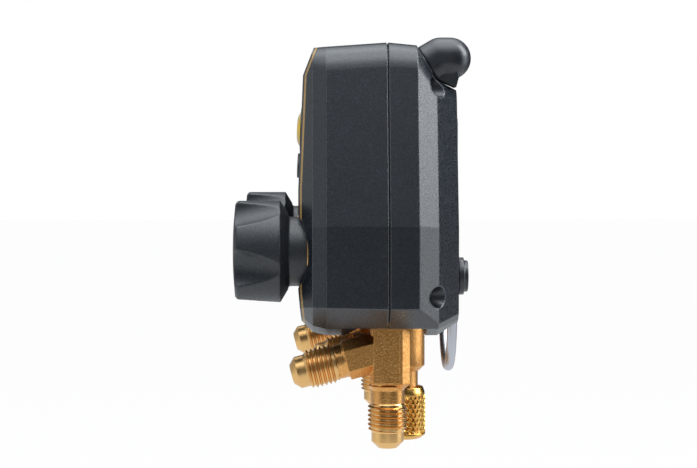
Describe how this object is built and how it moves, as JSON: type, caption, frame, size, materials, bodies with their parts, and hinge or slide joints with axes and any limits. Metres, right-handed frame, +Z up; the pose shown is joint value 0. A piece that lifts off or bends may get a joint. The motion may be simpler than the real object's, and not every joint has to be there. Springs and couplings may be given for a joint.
{
  "type": "refrigerant manifold gauge",
  "caption": "Hand-held digital gauge in a faceted plastic housing on a brass manifold with flare ports, valve knobs, probe sockets and a folding wire hook.",
  "frame": {"origin": "middle of the whole gauge, from knob crown to probe cap and from the brass cap's end to the top of the probe caps", "axes": "+X to the right seen from the front, -Y out of the face with the knobs, +Z up, so the hose ports point along -Z"},
  "size_m": [0.12, 0.067, 0.1194],
  "materials": {
    "housing_plastic": "fine spark-eroded grain",
    "panel_plastic": "smooth satin",
    "trim_tan": "satin",
    "collar_gold": "turned",
    "soft_rubber": "smooth, half gloss",
    "knob_plastic": "satin grain",
    "disc_blue": "smooth",
    "disc_red": "smooth",
    "badge_amber": "domed clear resin",
    "badge_frame": "smooth",
    "key_grey": "smooth",
    "brass_cast": "hot-forged, with machined flare ends",
    "brass_machined": "machined",
    "steel_wire": "drawn and nickel plated",
    "steel_screw": "zinc plated",
    "steel_can": "turned stainless",
    "socket_nickel": "nickel plated",
    "sight_glass": "polished",
    "sleeve_plastic": "smooth",
    "gasket_rubber": "moulded",
    "board_green": "solder mask",
    "cell_wrap": "printed sleeve, bare of words",
    "contact_nickel": "nickel plated spring steel"
  },
  "bodies": {
    "housing": {"front_shell": "housing_plastic", "rear_shell": "housing_plastic", "shell_gasket": "gasket_rubber", "trim_layer": "trim_tan", "front_panel": "panel_plastic", "pocket_collars": "collar_gold", "badge_dome": "badge_amber", "badge_rim": "badge_frame", "manifold_block": "brass_cast", "sight_glass_ring": "brass_machined", "sight_glass": "sight_glass", "sight_glass_sleeve": "sleeve_plastic", "valve_bonnets": "brass_machined", "pressure_sensors": "steel_can", "circuit_board": "board_green", "battery_cells": "cell_wrap", "battery_contacts": "contact_nickel", "probe_sockets": "socket_nickel", "case_screws": "steel_screw", "manifold_screws": "steel_screw", "board_screws": "steel_screw", "rubber_feet": "soft_rubber"},
    "power_key": {"power_key": "key_grey"},
    "hook": {"hook_bail": "steel_wire"},
    "port_cap_seal": {"port_cap_seal": "gasket_rubber"},
    "port_cap": {"port_cap": "brass_machined"},
    "battery_cover": {"battery_cover": "housing_plastic"},
    "probe_cap_right": {"probe_cap_right": "soft_rubber"},
    "probe_cap_left": {"probe_cap_left": "soft_rubber"},
    "high_side_piston": {"high_side_piston": "brass_machined"},
    "high_side_knob": {"high_side_knob": "knob_plastic", "high_side_knob_disc": "disc_red", "high_side_knob_screw": "steel_screw", "high_side_spindle": "brass_machined"},
    "low_side_piston": {"low_side_piston": "brass_machined"},
    "low_side_knob": {"low_side_knob": "knob_plastic", "low_side_knob_disc": "disc_blue", "low_side_knob_screw": "steel_screw", "low_side_spindle": "brass_machined"}
  },
  "joints": [
    {"name": "high_side_valve_lift", "type": "slide", "parent": "housing", "child": "high_side_piston", "axis": [0, -1, 0], "range_m": [0, 0.0015]},
    {"name": "high_side_valve_turn", "type": "hinge", "parent": "high_side_piston", "child": "high_side_knob", "pos_m": [0.044, -0.03312, -0.00053], "axis": [0, -1, 0], "range_deg": [0, 540]},
    {"name": "low_side_valve_lift", "type": "slide", "parent": "housing", "child": "low_side_piston", "axis": [0, -1, 0], "range_m": [0, 0.0015]},
    {"name": "low_side_valve_turn", "type": "hinge", "parent": "low_side_piston", "child": "low_side_knob", "pos_m": [-0.044, -0.03312, -0.00053], "axis": [0, -1, 0], "range_deg": [0, 540]},
    {"name": "port_cap_lift", "type": "slide", "parent": "housing", "child": "port_cap_seal", "axis": [0, 0, -1], "range_m": [0, 0.00762]},
    {"name": "port_cap_turn", "type": "hinge", "parent": "port_cap_seal", "child": "port_cap", "pos_m": [0, 0.01578, -0.05973], "axis": [0, 0, -1], "range_deg": [0, 2160]},
    {"name": "power_key_press", "type": "slide", "parent": "housing", "child": "power_key", "axis": [0, 1, 0], "range_m": [0, 0.0006], "stiffness_N_per_m": 3000},
    {"name": "hook_swing", "type": "hinge", "parent": "housing", "child": "hook", "pos_m": [0, 0.02668, 0.04147], "axis": [1, 0, 0], "range_deg": [0, 172]},
    {"name": "battery_cover_slide", "type": "slide", "parent": "housing", "child": "battery_cover", "axis": [0, 0, -1], "range_m": [0, 0.026]},
    {"name": "probe_cap_right_pull", "type": "slide", "parent": "housing", "child": "probe_cap_right", "axis": [0, 0.8638, 0.5039], "range_m": [0, 0.009]},
    {"name": "probe_cap_left_pull", "type": "slide", "parent": "housing", "child": "probe_cap_left", "axis": [0, 0.8638, 0.5039], "range_m": [0, 0.009]}
  ],
  "couplings": [
    {"joint": "high_side_valve_turn", "follows": "high_side_valve_lift", "rad_per_m": 6283.2},
    {"joint": "low_side_valve_turn", "follows": "low_side_valve_lift", "rad_per_m": 6283.2},
    {"joint": "port_cap_turn", "follows": "port_cap_lift", "rad_per_m": 4947.4}
  ]
}
